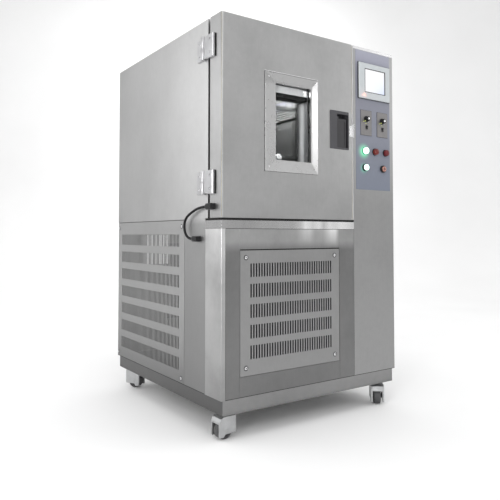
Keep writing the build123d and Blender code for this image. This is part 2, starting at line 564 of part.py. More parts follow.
wg = bx(PA[0], PA[1], 58, 68.2, PA[2], PA[3]) - bx(WO_X0 + 3, WO_X1 - 3, 57, 69, WO_Z0 + 3, WO_Z1 - 3)
add("window_gasket", one(wg))

# flush handle: housing, paddle
hh = bx(HH_X0, HH_X1, -3.0, 0, HH_Z0, HH_Z1)
hh = hh.fillet(3.0, hh.edges().filter_by(Axis.Y))
hh = hh.chamfer(1.2, None, hh.faces().sort_by(Axis.Y)[0].outer_wire().edges())
hh = one(hh) + bx(HH_X0 + 3, HH_X1 - 1.8, -0.5, 31, HH_Z0 + 3, HH_Z1 - 3)
hh -= bx(HR_X0, HR_X1, -4, 28, HR_Z0, HR_Z1)
hh += bx(HR_X0 - 1, HR_X0 + 10, 0.3, 9.0, 998.0, 1005.0)
hh -= cz(PAD_X, PAD_Y, 882, 1010, 1.55)
add("handle_housing", one(hh))
pd = bx(524.4, 573.0, 1.0, 8.0, 886.0, 997.5)
pd = pd.fillet(2.0, [e for e in pd.edges().filter_by(Axis.Z) if e.center().X > 570])
pd += bx(560.0, 573.0, 7.0, 14.0, 890.0, 993.0)
pd += cz(PAD_X, PAD_Y, 882.5, 1004.0, 1.5)
pd -= bx(535, 566, 0, 2.2, 896, 987)
add("handle_paddle", one(pd))

# latch plate on the door's edge is part of the striker pair; striker on the column
st = bx(COL_X0 - 0.9, COL_X0 - 0.001, 8, 70, 930, 984) + bx(COL_X0 - 0.9, COL_X0 + 3.6, -1.2, 0, 930, 984) + bx(COL_X0 - 0.9, COL_X0, -1.2, 9, 930, 984)
add("door_striker", one(st))

# hinges
dl, cl = [], []
for (z0, z1) in HINGES:
    zm = (z0 + z1) / 2
    a = bx(-13, 0, 38.5, 75.7, z0, z1)
    a = a.chamfer(2.5, None, [e for e in a.edges() if e.center().X < -12.9])
    a = one(a) + bx(-12, -1.2, 73, 96.5, z0 + 3, z1 - 3) + bx(-12, -1.2, 90, 107, zm + 0.25, z1 - 3)
    a += cz(HG_X, HG_Y, zm + 0.25, z1, HG_R)
    a -= cz(HG_X, HG_Y, zm, z1 - 3, HG_PIN + HG_PLAY)
    for zz in (z0 + 18, z1 - 18):
        a -= cx(57, zz, -14, -9, 4.5)
    dl.append(one(a))
    c = bx(-8, 0, 117.2, 152.5, z0 + 2, z1 - 2)
    c = c.chamfer(2.0, None, [e for e in c.edges() if e.center().X < -7.9])
    c = one(c) + bx(-8, -1.0, 107, 120, z0 + 2, zm - 0.25) + cz(HG_X, HG_Y, z0, zm - 0.25, HG_R)
    c += cz(HG_X, HG_Y, zm - 1, z1 - 4, HG_PIN)
    for zz in (z0 + 18, z1 - 18):
        c -= cx(136, zz, -9, -5, 4.0)
    cl.append(one(c))
add("door_hinge_leaves", group(dl))
add("cabinet_hinge_leaves", group(cl))

# cable glands and the cable
g1 = bx(-19, 0, 41, 74, 633.5, 654.5)
g1 = one(g1.fillet(4.0, [e for e in g1.edges().filter_by(Axis.Y) if e.center().X < -15]))
g1 += cy(-11.0, 644.0, 73, 80, 8.0)
g1 -= cy(-11.0, 644.0, 60, 81, CABLE_D / 2)
add("cable_gland_door", one(g1))
g2 = bx(-19, 0, 138, 169, 523.5, 542.5)
g2 = one(g2.fillet(4.0, [e for e in g2.edges().filter_by(Axis.Y) if e.center().X < -15]))
g2 += cy(-11.0, 533.0, 168, 175, 8.0)
g2 -= cy(-11.0, 533.0, 150, 176, CABLE_D / 2)
add("cable_gland_cabinet", one(g2))

P = [Vector(*p) for p in CABLE]
radii = []
for i in range(1, len(P) - 1):
    a, b = P[i] - P[i - 1], P[i + 1] - P[i]
    turn = math.radians(a.get_angle(b))
    radii.append(0.45 * min(a.length, b.length) / math.tan(turn / 2))
print("cable radii mm:", [round(r, 1) for r in radii], "runs:", [round((P[i + 1] - P[i]).length, 1) for i in range(len(P) - 1)])
path = FilletPolyline(*P, radius=radii)
cable = sweep(Plane(origin=path @ 0, z_dir=path % 0) * Circle(CABLE_D / 2), path=path)
cable = one(cable)
print("cable length mm:", round(path.length, 1), "volume ratio:", round(cable.volume / (math.pi * CABLE_D ** 2 / 4 * path.length), 4))
add("door_cable", cable)

# ------------------------------------------------------------------ write
lo, hi = [1e9] * 3, [-1e9] * 3
for name, s in NODES.items():
    if name != "door_cable":
        b = s.bounding_box()
        for i, (u, v) in enumerate(((b.min.X, b.max.X), (b.min.Y, b.max.Y), (b.min.Z, b.max.Z))):
            lo[i], hi[i] = min(lo[i], u), max(hi[i], v)
print("box mm:", [round(v, 3) for v in lo], [round(v, 3) for v in hi], "nodes:", len(NODES))
for name, s in NODES.items():
    export_step(s, "parts/" + name + ".step")
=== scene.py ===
import math

import bmesh
import bpy
from mathutils import Matrix, Vector, noise


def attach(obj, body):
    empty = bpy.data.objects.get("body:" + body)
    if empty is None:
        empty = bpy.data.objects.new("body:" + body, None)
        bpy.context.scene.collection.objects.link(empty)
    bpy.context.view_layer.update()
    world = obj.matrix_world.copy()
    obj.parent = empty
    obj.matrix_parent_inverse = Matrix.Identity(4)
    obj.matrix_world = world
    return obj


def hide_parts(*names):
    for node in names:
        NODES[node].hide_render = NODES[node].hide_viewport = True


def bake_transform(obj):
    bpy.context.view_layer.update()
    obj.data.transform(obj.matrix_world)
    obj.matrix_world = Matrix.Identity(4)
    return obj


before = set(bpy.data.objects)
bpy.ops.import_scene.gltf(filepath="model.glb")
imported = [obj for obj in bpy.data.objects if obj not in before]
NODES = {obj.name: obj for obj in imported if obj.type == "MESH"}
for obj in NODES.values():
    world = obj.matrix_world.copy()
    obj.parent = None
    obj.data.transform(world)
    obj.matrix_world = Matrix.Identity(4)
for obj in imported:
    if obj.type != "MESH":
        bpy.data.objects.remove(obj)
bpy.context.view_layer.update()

# The working axes of the construction, in millimetres: X from the left side,
# Y from the front face, Z from the top of the plinth.
W, D, H = 840.0, 897.0, 1300.0
CX, CY, FLOOR = (W - 19.0) / 2.0, (D + 2.0) / 2.0, 141.0


def P(x, y, z):
    return Vector(((x - CX) / 1000.0, (y - CY) / 1000.0, (z + FLOOR) / 1000.0))


# ---------------------------------------------------------------- camera
cam_data = bpy.data.cameras.new("Camera")
cam = bpy.data.objects.new("Camera", cam_data)
bpy.context.scene.collection.objects.link(cam)
bpy.context.scene.camera = cam
cam_data.sensor_width = 36.0
cam_data.lens = 568.05 / 500.0 * 36.0
cam_data.shift_x = 0.0
cam_data.shift_y = -0.0699
cam_data.clip_start, cam_data.clip_end = 0.05, 60.0
cam.location = P(-993.2, -1601.6, 547.3)
yaw, pitch = math.radians(34.69), math.radians(1.998)
look = Vector((math.sin(yaw) * math.cos(pitch), math.cos(yaw) * math.cos(pitch), math.sin(pitch)))
cam.rotation_mode = "QUATERNION"
cam.rotation_quaternion = look.to_track_quat("-Z", "Y")


# ---------------------------------------------------------------- materials
def new_mat(name):
    m = bpy.data.materials.new(name)
    m.use_nodes = True
    nt = m.node_tree
    b = nt.nodes["Principled BSDF"]
    return m, nt, b


def N(nt, kind, **kw):
    n = nt.nodes.new(kind)
    for k, v in kw.items():
        setattr(n, k, v)
    return n


def coords(nt, scale=(1, 1, 1), rot=(0, 0, 0)):
    tc = N(nt, "ShaderNodeTexCoord")
    mp = N(nt, "ShaderNodeMapping")
    mp.inputs["Scale"].default_value = scale
    mp.inputs["Rotation"].default_value = rot
    nt.links.new(tc.outputs["Object"], mp.inputs["Vector"])
    return mp.outputs["Vector"]


def noise_tex(nt, vec, scale, detail=4.0, rough=0.55):
    n = N(nt, "ShaderNodeTexNoise")
    n.inputs["Scale"].default_value = scale
    n.inputs["Detail"].default_value = detail
    n.inputs["Roughness"].default_value = rough
    nt.links.new(vec, n.inputs["Vector"])
    return n.outputs["Fac"]


def ramp(nt, fac, stops):
    r = N(nt, "ShaderNodeValToRGB")
    els = r.color_ramp.elements
    while len(els) < len(stops):
        els.new(0.5)
    for e, (p, c) in zip(els, stops):
        e.position = p
        e.color = (c, c, c, 1) if isinstance(c, (int, float)) else (*c, 1)
    nt.links.new(fac, r.inputs["Fac"])
    return r.outputs["Color"]


def mixc(nt, kind, a, b, fac):
    m = N(nt, "ShaderNodeMix", data_type="RGBA", blend_type=kind)
    for sock, v in ((m.inputs["A"], a), (m.inputs["B"], b), (m.inputs["Factor"], fac)):
        if isinstance(v, (int, float)):
            sock.default_value = v if sock.type == "VALUE" else (v, v, v, 1)
        elif isinstance(v, tuple):
            sock.default_value = (*v, 1)
        else:
            nt.links.new(v, sock)
    return m.outputs["Result"]


def bump(nt, heights, bsdf):
    """Chains (height, strength, distance) bumps into the shader's normal."""
    prev = None
    for h, s, d in heights:
        b = N(nt, "ShaderNodeBump")
        b.inputs["Strength"].default_value = s
        b.inputs["Distance"].default_value = d
        nt.links.new(h, b.inputs["Height"])
        if prev is not None:
            nt.links.new(prev, b.inputs["Normal"])
        prev = b.outputs["Normal"]
    nt.links.new(prev, bsdf.inputs["Normal"])


def steel(name, base, rough, grain="v", spread=0.03, metallic=1.0, tint=(1.0, 1.0, 1.0), smudge=0.06, wave=0.12,
          shade=(), flank=1.0, band=None, left_only=False, depth=()):
    """Satin stainless sheet: stretched grain, cloudy roughness, handling marks.
    shade: (height in mm, gain) stops of painted shade and painted light up the sheet; flank: painted shade, a gain on
    faces that look sideways;
    band: (low z, high z) of a strip with lower roughness and a painted highlight with soft upright streaks, and a
    painted reflection added under it;
    depth: painted light, a gain from front to back; left_only: the painted shade by height only on the left half."""
    m, nt, b = new_mat(name)
    g = {"v": (900, 900, 22), "h": (22, 22, 900), "y": (900, 22, 900)}[grain]
    fine = noise_tex(nt, coords(nt, g), 1.0, 3.0, 0.6)
    cloud = noise_tex(nt, coords(nt, (1, 1, 1)), 4.5, 6.0, 0.62)
    mottle = noise_tex(nt, coords(nt, (1, 1, 1)), 42.0, 5.0, 0.7)
    col = tuple(base * t for t in tint)
    lo = tuple(c * (1 - spread) for c in col)
    hi = tuple(min(1.0, c * (1 + spread)) for c in col)
    c = mixc(nt, "MULTIPLY", ramp(nt, fine, [(0.3, lo), (0.7, hi)]), ramp(nt, cloud, [(0.32, 1 - smudge), (0.62, 1.0)]), 1.0)
    c = mixc(nt, "MULTIPLY", c, ramp(nt, mottle, [(0.32, 0.94), (0.66, 1.0)]), 1.0)
    sep = N(nt, "ShaderNodeSeparateXYZ")
    nt.links.new(coords(nt), sep.inputs[0])
    # painted shade and painted light: the sheet's tone changes with height
    if shade:
        mr = N(nt, "ShaderNodeMapRange")
        mr.inputs["From Max"].default_value = 1.5
        nt.links.new(sep.outputs["Z"], mr.inputs["Value"])
        painted_tone = ramp(nt, mr.outputs["Result"], [((z + FLOOR) / 1500.0, g) for z, g in shade])
        if left_only:
            lt = N(nt, "ShaderNodeMath", operation="LESS_THAN")
            lt.inputs[1].default_value = 0.0
            nt.links.new(sep.outputs["X"], lt.inputs[0])
            painted_tone = mixc(nt, "MIX", 1.0, painted_tone, lt.outputs[0])
        c = mixc(nt, "MULTIPLY", c, painted_tone, 1.0)
    # painted light: brighter towards the front, duller towards the back
    if depth:
        fr = N(nt, "ShaderNodeMapRange")
        fr.inputs["From Min"].default_value = (88.0 - CY) / 1000.0
        fr.inputs["From Max"].default_value = (897.0 - CY) / 1000.0
        nt.links.new(sep.outputs["Y"], fr.inputs["Value"])
        c = mixc(nt, "MULTIPLY", c, ramp(nt, fr.outputs["Result"], list(depth)), 1.0)
    # painted shade: faces that look sideways get a darker gain
    if flank != 1.0:
        geo = N(nt, "ShaderNodeNewGeometry")
        ns = N(nt, "ShaderNodeSeparateXYZ")
        nt.links.new(geo.outputs["Normal"], ns.inputs[0])
        ab = N(nt, "ShaderNodeMath", operation="ABSOLUTE")
        nt.links.new(ns.outputs["X"], ab.inputs[0])
        c = mixc(nt, "MULTIPLY", c, ramp(nt, ab.outputs[0], [(0.3, 1.0), (0.8, flank)]), 1.0)
    rr = mixc(nt, "ADD", ramp(nt, mottle, [(0.25, max(0.05, rough - 0.05)), (0.75, rough + 0.05)]),
              ramp(nt, cloud, [(0.3, 0.0), (0.75, 0.07)]), 1.0)
    # painted highlight on the band with upright streaks, and a painted reflection added on the sheet under it; the
    # band's roughness is lowered too
    if band:
        across = N(nt, "ShaderNodeMapRange")
        across.inputs["From Min"].default_value = (0.0 - CX) / 1000.0
        across.inputs["From Max"].default_value = (640.0 - CX) / 1000.0
        nt.links.new(sep.outputs["X"], across.inputs["Value"])
        stops = [(0, 0.52), (90, 0.43), (150, 0.47), (300, 0.54), (340, 0.68), (362, 0.98), (400, 0.90), (430, 0.98), (452, 0.72),
                 (480, 0.98), (560, 0.98), (600, 0.80)]
        strip = ramp(nt, across.outputs["Result"], [(x / 640.0, g) for x, g in stops])
        under = ramp(nt, across.outputs["Result"], [(x / 640.0, g) for x, g in
                                                    ((0, 0.0), (320, 0.02), (362, 0.24), (385, 0.26), (410, 0.06), (450, 0.10), (490, 0.50),
                                                     (512, 0.52), (530, 0.04), (560, 0.0))])
        reflection_lift_painted = N(nt, "ShaderNodeMapRange")
        reflection_lift_painted.inputs["From Min"].default_value = (500.0 + FLOOR) / 1000.0
        reflection_lift_painted.inputs["From Max"].default_value = (565.0 + FLOOR) / 1000.0
        nt.links.new(sep.outputs["Z"], reflection_lift_painted.inputs["Value"])
        c = mixc(nt, "ADD", c, mixc(nt, "MULTIPLY", under, reflection_lift_painted.outputs["Result"], 1.0), 1.0)
        inside = N(nt, "ShaderNodeMath", operation="COMPARE")
        inside.inputs[1].default_value = (band[0] + band[1]) / 2
        inside.inputs[2].default_value = (band[1] - band[0]) / 2
        nt.links.new(sep.outputs["Z"], inside.inputs[0])
        streak = noise_tex(nt, coords(nt, (14, 14, 0.6)), 1.0, 2.0, 0.5)
        c = mixc(nt, "MIX", c, mixc(nt, "MULTIPLY", strip, ramp(nt, streak, [(0.35, 0.90), (0.65, 1.0)]), 1.0), inside.outputs[0])
        rr = mixc(nt, "MIX", rr, 0.24, inside.outputs[0])
    nt.links.new(c, b.inputs["Base Color"])
    nt.links.new(rr, b.inputs["Roughness"])
    b.inputs["Metallic"].default_value = metallic
    wv = noise_tex(nt, coords(nt, (1, 1, 1)), 2.3, 1.0, 0.4)
    bump(nt, [(fine, 0.08, 0.0002), (mottle, 0.012, 0.0006), (wv, wave, 0.004)], b)
    return m


def plastic(name, col, rough, grain=1400.0, bumpy=0.12, var=0.12, metallic=0.0, coat=0.0):
    m, nt, b = new_mat(name)
    g = noise_tex(nt, coords(nt), grain, 3.0, 0.6)
    cl = noise_tex(nt, coords(nt), 22.0, 4.0, 0.6)
    lo = tuple(c * (1 - var) for c in col)
    hi = tuple(min(1, c * (1 + var)) for c in col)
    nt.links.new(ramp(nt, cl, [(0.3, lo), (0.7, hi)]), b.inputs["Base Color"])
    nt.links.new(ramp(nt, cl, [(0.25, max(0.04, rough - 0.07)), (0.8, rough + 0.08)]), b.inputs["Roughness"])
    b.inputs["Metallic"].default_value = metallic
    b.inputs["Coat Weight"].default_value = coat
    bump(nt, [(g, bumpy, 0.0002)], b)
    return m


M = {}
# the shade stops below are painted shade and painted light by height: door, grille, vent, post and plinth darker low
# down, column brighter near the top
M["steel_v"] = steel("steel_v", 0.48, 0.34, smudge=0.10, shade=((600, 0.90), (760, 0.97), (1000, 1.0)), wave=0.16)
M["steel_col"] = steel("steel_col", 0.385, 0.36, shade=((0, 0.88), (700, 0.98), (1300, 1.12)))
M["steel_grille"] = steel("steel_grille", 0.33, 0.36, shade=((60, 0.94), (300, 1.0), (500, 1.04)))
# steel_h: painted highlight and streaks on the sill band, painted brightening and reflection on the sheet just under
# it
M["steel_h"] = steel("steel_h", 0.240, 0.30, "v", smudge=0.14, shade=((60, 0.86), (490, 1.0), (525, 1.75)), band=((568.5 + FLOOR) / 1000, (597.5 + FLOOR) / 1000))
# steel_side: painted shade on the lower part of the left side, and painted light brighter towards the front
M["steel_side"] = steel("steel_side", 0.50, 0.42, shade=((0, 0.42), (300, 0.53), (585, 0.66), (605, 0.97), (1300, 1.0)), left_only=True,
                        depth=((0.0, 1.22), (0.16, 1.16), (0.40, 1.03), (0.65, 0.98), (1.0, 0.92)))
M["steel_vent"] = steel("steel_vent", 0.43, 0.40, shade=((0, 0.50), (110, 0.72), (300, 0.95), (590, 1.0)))
M["steel_rear"] = steel("steel_rear", 0.40, 0.46)
M["steel_bright"] = steel("steel_bright", 0.66, 0.26, "h", smudge=0.05)
M["steel_post"] = steel("steel_post", 0.66, 0.30, "v", smudge=0.22, shade=((0, 0.52), (200, 0.66), (400, 0.90), (500, 1.12), (560, 1.22)), wave=0.22)
M["steel_inner"] = steel("steel_inner", 0.52, 0.33, "v", smudge=0.08)
# steel_frame: painted shade on the top strip of the window frame
M["steel_frame"] = steel("steel_frame", 0.60, 0.26, "v", smudge=0.05, shade=((780, 1.05), (1080, 0.98), (1092, 0.80), (1130, 0.80)))
# plinth: painted shade on its sideways faces and towards its bottom
M["plinth"] = steel("plinth", 0.30, 0.40, "h", smudge=0.16, flank=0.48, shade=((-51, 0.82), (-40, 0.96), (0, 1.04)))
M["galv"] = plastic("galv", (0.36, 0.365, 0.37), 0.45, 500.0, 0.12, 0.14, 0.8)
M["cast"] = plastic("cast", (0.46, 0.465, 0.47), 0.40, 650.0, 0.30, 0.14, 0.9)
M["hinge"] = plastic("hinge", (0.50, 0.50, 0.51), 0.34, 700.0, 0.14, 0.06, 0.9)
M["chrome"] = plastic("chrome", (0.86, 0.86, 0.87), 0.12, 300.0, 0.03, 0.03, 1.0)
M["screw"] = plastic("screw", (0.78, 0.78, 0.79), 0.20, 900.0, 0.08, 0.05, 1.0)
M["cup"] = plastic("cup", (0.12, 0.12, 0.125), 0.30, 900.0, 0.08, 0.08, 0.9)
M["rubber"] = plastic("rubber", (0.012, 0.012, 0.012), 0.62, 900.0, 0.25, 0.2)
M["black"] = plastic("black", (0.018, 0.018, 0.019), 0.34, 1600.0, 0.14, 0.2)
M["charcoal"] = plastic("charcoal", (0.050, 0.049, 0.055), 0.42, 1500.0, 0.22, 0.12)
M["paddle"] = plastic("paddle", (0.026, 0.025, 0.028), 0.45, 1500.0, 0.20, 0.12)
M["silicone"] = plastic("silicone", (0.45, 0.45, 0.44), 0.5, 900.0, 0.1, 0.08)
M["foam"] = plastic("foam", (0.78, 0.72, 0.50), 0.9, 260.0, 0.6, 0.12)
M["bezel"] = plastic("bezel", (0.50, 0.53, 0.545), 0.42, 1500.0, 0.12, 0.04)
M["taupe"] = plastic("taupe", (0.205, 0.198, 0.198), 0.40, 1500.0, 0.14, 0.10, 0.35)
M["wheel"] = plastic("wheel", (0.060, 0.060, 0.062), 0.55, 500.0, 0.35, 0.22)
M["alu"] = plastic("alu", (0.42, 0.43, 0.44), 0.40, 500.0, 0.10, 0.10, 0.9)
M["enamel"] = plastic("enamel", (0.014, 0.014, 0.015), 0.25, 300.0, 0.05, 0.2)
M["copper"] = plastic("copper", (0.62, 0.30, 0.17), 0.33, 300.0, 0.06, 0.1, 1.0)
M["dark_fins"] = plastic("dark_fins", (0.035, 0.036, 0.038), 0.5, 500.0, 0.10, 0.2, 0.6)
M["pale"] = plastic("pale", (0.62, 0.62, 0.63), 0.38, 900.0, 0.08, 0.05)
M["jamb"] = plastic("jamb", (0.30, 0.30, 0.31), 0.34, 900.0, 0.08, 0.05, 0.6)
M["bright"] = plastic("bright", (0.93, 0.93, 0.94), 0.22, 500.0, 0.05, 0.03, 0.9)
M["pointer"] = plastic("pointer", (0.62, 0.68, 0.22), 0.40, 900.0, 0.08, 0.08)
M["cable"] = plastic("cable", (0.010, 0.010, 0.011), 0.60, 900.0, 0.18, 0.2)


def overlay_mat():
    m, nt, b = new_mat("overlay")
    sep = N(nt, "ShaderNodeSeparateXYZ")
    nt.links.new(coords(nt), sep.inputs[0])
    mr = N(nt, "ShaderNodeMapRange")
    mr.inputs["From Min"].default_value = (728 + FLOOR) / 1000
    mr.inputs["From Max"].default_value = (1288 + FLOOR) / 1000
    nt.links.new(sep.outputs["Z"], mr.inputs["Value"])
    # painted light: the film darker towards the bottom, with a painted highlight band across the top
    painted_light_grad = ramp(nt, mr.outputs["Result"], [(0.0, (0.165, 0.185, 0.235)), (0.45, (0.205, 0.215, 0.260)), (0.86, (0.215, 0.220, 0.265)), (0.95, (0.31, 0.315, 0.385)), (1.0, (0.33, 0.335, 0.40))])
    cl = noise_tex(nt, coords(nt), 60.0, 5.0, 0.65)
    fine = noise_tex(nt, coords(nt), 2600.0, 2.0, 0.5)
    c = mixc(nt, "MULTIPLY", painted_light_grad, ramp(nt, cl, [(0.3, 0.95), (0.7, 1.0)]), 1.0)
    nt.links.new(c, b.inputs["Base Color"])
    nt.links.new(ramp(nt, cl, [(0.2, 0.40), (0.8, 0.50)]), b.inputs["Roughness"])
    bump(nt, [(fine, 0.10, 0.0001)], b)
    # painted glow: green light from the lit lamp and the lit button painted onto the film as emission
    total = None
    for x, z, reach, col in ((669.0, 881.0, 38.0, (0.05, 0.62, 0.24)), (669.0, 814.0, 28.0, (0.05, 0.34, 0.20))):
        at = N(nt, "ShaderNodeVectorMath", operation="DISTANCE")
        nt.links.new(coords(nt), at.inputs[0])
        at.inputs[1].default_value = P(x, -0.6, z)
        near = N(nt, "ShaderNodeMapRange")
        near.inputs["From Max"].default_value = reach / 1000.0
        nt.links.new(at.outputs["Value"], near.inputs["Value"])
        painted_halo = ramp(nt, near.outputs["Result"], [(0.30, col), (0.55, tuple(0.42 * k for k in col)), (0.80, tuple(0.10 * k for k in col)),
                                                  (1.0, (0.0, 0.0, 0.0))])
        total = painted_halo if total is None else mixc(nt, "ADD", total, painted_halo, 1.0)
    nt.links.new(total, b.inputs["Emission Color"])
    b.inputs["Emission Strength"].default_value = 1.05
    return m


M["overlay"] = overlay_mat()


def screen_mat():
    """Lit display: near white, paler blue towards the lower right."""
    m, nt, b = new_mat("screen")
    v = coords(nt)
    sep = N(nt, "ShaderNodeSeparateXYZ")
    nt.links.new(v, sep.inputs[0])
    ma = N(nt, "ShaderNodeMapRange")
    ma.inputs["From Min"].default_value = (671 - CX) / 1000
    ma.inputs["From Max"].default_value = (785 - CX) / 1000
    mb = N(nt, "ShaderNodeMapRange")
    mb.inputs["From Min"].default_value = (1214 + FLOOR) / 1000
    mb.inputs["From Max"].default_value = (1122 + FLOOR) / 1000
    nt.links.new(sep.outputs["X"], ma.inputs["Value"])
    nt.links.new(sep.outputs["Z"], mb.inputs["Value"])
    mul = N(nt, "ShaderNodeMath", operation="MULTIPLY")
    nt.links.new(ma.outputs["Result"], mul.inputs[0])
    nt.links.new(mb.outputs["Result"], mul.inputs[1])
    c = ramp(nt, mul.outputs[0], [(0.0, (1.0, 1.0, 1.0)), (0.5, (0.90, 0.94, 1.0)), (1.0, (0.72, 0.80, 1.0))])
    nt.links.new(c, b.inputs["Emission Color"])
    b.inputs["Emission Strength"].default_value = 0.95
    b.inputs["Base Color"].default_value = (0.05, 0.05, 0.06, 1)
    g = noise_tex(nt, v, 900.0, 2.0, 0.5)
    nt.links.new(ramp(nt, g, [(0.3, 0.10), (0.7, 0.16)]), b.inputs["Roughness"])
    return m


M["screen"] = screen_mat()


def lens_mat(name, col, rough=0.16, emit=None, strength=0.0, coat=0.4):
    m, nt, b = new_mat(name)
    v = coords(nt)
    cl = noise_tex(nt, v, 130.0, 3.0, 0.5)
    lo, hi = tuple(c * 0.85 for c in col), tuple(min(1, c * 1.12) for c in col)
    nt.links.new(ramp(nt, cl, [(0.3, lo), (0.7, hi)]), b.inputs["Base Color"])
    nt.links.new(ramp(nt, cl, [(0.3, rough), (0.7, rough + 0.08)]), b.inputs["Roughness"])
    b.inputs["Coat Weight"].default_value = coat
    b.inputs["Coat Roughness"].default_value = 0.08
    if emit:
        e = ramp(nt, cl, [(0.3, tuple(c * 0.95 for c in emit)), (0.7, emit)])
        nt.links.new(e, b.inputs["Emission Color"])
        b.inputs["Emission Strength"].default_value = strength
    return m


M["lamp_green"] = lens_mat("lamp_green", (0.55, 0.95, 0.75), 0.2, (0.66, 1.0, 0.84), 2.2)
M["lamp_red"] = lens_mat("lamp_red", (0.15, 0.014, 0.011), 0.34, coat=0.08)
M["lamp_red2"] = lens_mat("lamp_red2", (0.125, 0.008, 0.012), 0.34, coat=0.08)
M["cap_stop"] = lens_mat("cap_stop", (0.17, 0.085, 0.072), 0.25)
M["led_red"] = lens_mat("led_red", (0.9, 0.2, 0.15), 0.2, (1.0, 0.25, 0.18), 1.6)
M["lamp_glass"] = lens_mat("lamp_glass", (0.30, 0.30, 0.34), 0.4, (0.80, 0.80, 1.0), 0.42, coat=0.0)
# painted glow: the lit lamp's collar gives off green emission though it is no lamp
M["collar_glow_painted"] = lens_mat("collar_glow_painted", (0.02, 0.09, 0.05), 0.4, (0.04, 0.55, 0.22), 0.32)
# painted light: the pale conduits glow by emission
M["conduit_glow_painted"] = lens_mat("conduit_glow_painted", (0.70, 0.70, 0.71), 0.4, (1.0, 1.0, 1.0), 0.62, coat=0.0)
M["ring_copper"] = lens_mat("ring_copper", (0.52, 0.25, 0.20), 0.25)
M["amber"] = lens_mat("amber", (0.52, 0.55, 0.22), 0.3)


def glass_mat():
    m, nt, b = new_mat("pane")
    v = coords(nt)
    cl = noise_tex(nt, v, 9.0, 3.0, 0.5)
    b.inputs["Base Color"].default_value = (0.93, 0.96, 0.95, 1)
    nt.links.new(ramp(nt, cl, [(0.3, 0.0), (0.7, 0.02)]), b.inputs["Roughness"])
    b.inputs["Transmission Weight"].default_value = 1.0
    b.inputs["IOR"].default_value = 1.12
    b.inputs["Alpha"].default_value = 0.35
    return m


M["pane"] = glass_mat()
for key in ("cable", "rubber", "black"):
    for n in M[key].node_tree.nodes:
        if n.type == "BSDF_PRINCIPLED":
            n.inputs["Specular IOR Level"].default_value = 0.18

LOOK = {
    "base_frame": "plinth", "caster_plates": "galv", "cabinet_shell": "steel_side", "rear_panel": "steel_rear",
    "corner_post": "steel_post", "lower_front_frame": "steel_h", "front_grille": "steel_grille", "side_vent_panel": "steel_vent",
    "panel_screws": "screw", "control_column": "steel_col", "control_overlay": "overlay", "screen_bezel": "bezel",
    "touch_screen": "screen", "thermostat_plates": "taupe", "pilot_lamps": "lamp_red", "button_collars": "black",
    "chamber_liner": "steel_inner", "cabinet_insulation": "foam", "air_baffle": "steel_inner", "shelf_lower": "steel_inner",
    "shelf_upper": "steel_inner", "shelves": "steel_inner", "condenser_shroud": "galv", "fan_motor": "enamel", "heater_coil": "copper", "evaporator": "alu", "compressor": "enamel",
    "condenser": "dark_fins", "control_chassis": "galv", "door_cable": "cable", "cable_gland_cabinet": "black",
    "cabinet_hinge_leaves": "hinge", "door_striker": "chrome", "mains_gland": "black", "sill_gasket": "rubber",
    "door_shell": "steel_v", "door_inner_pan": "steel_inner", "door_insulation": "foam", "door_gasket": "silicone",
    "window_frame": "steel_frame", "window_gasket": "rubber", "window_panes": "pane", "handle_housing": "charcoal",
    "door_hinge_leaves": "hinge", "cable_gland_door": "black", "handle_paddle": "paddle", "thermostat_knob_left": "black",
    "thermostat_knob_right": "black", "thermostat_rocker_left": "black", "thermostat_rocker_right": "black",
    "start_button": "lamp_green", "stop_button": "cap_stop", "fan_impeller": "alu", "condenser_fan": "enamel",
}
BEVEL = {"cabinet_shell": 0.8, "corner_post": 0.6, "lower_front_frame": 0.5, "front_grille": 0.35, "side_vent_panel": 0.35,
         "control_column": 0.8, "screen_bezel": 0.6, "thermostat_plates": 0.4, "door_shell": 1.6, "window_frame": 0.7,
         "handle_housing": 0.7, "handle_paddle": 0.8, "door_hinge_leaves": 0.6, "cabinet_hinge_leaves": 0.6, "base_frame": 0.9,
         "door_striker": 0.25, "caster_plates": 0.6, "start_button": 0.6, "stop_button": 0.6, "button_collars": 0.4,
         "mains_gland": 0.4, "cable_gland_cabinet": 0.5, "cable_gland_door": 0.5, "control_chassis": 0.8}
for n, o in NODES.items():
    key = LOOK.get(n) or ("cast" if n.startswith("caster_housing") else "wheel")
    o.data.materials.clear()
    o.data.materials.append(M[key])
    wd = o.modifiers.new("weld", "WELD")
    wd.merge_threshold = 0.00001
    w = BEVEL.get(n, 0.7 if n.startswith("caster_housing") else 0.0)
    if w:
        bv = o.modifiers.new("edge", "BEVEL")
        bv.width = w / 1000.0
        bv.segments = 2
        bv.limit_method = "ANGLE"
        bv.angle_limit = math.radians(40)
        bv.harden_normals = True
        bv.use_clamp_overlap = True

# ---------------------------------------------------------------- floor and light
def mesh_obj(name, bm, mats, smooth=False):
    me = bpy.data.meshes.new(name)
    bm.normal_update()
    bm.to_mesh(me)
    bm.free()
    o = bpy.data.objects.new(name, me)
    bpy.context.scene.collection.objects.link(o)
    for m in mats if isinstance(mats, (list, tuple)) else [mats]:
        me.materials.append(m)
    if smooth:
        for p in me.polygons:
            p.use_smooth = True
    return o


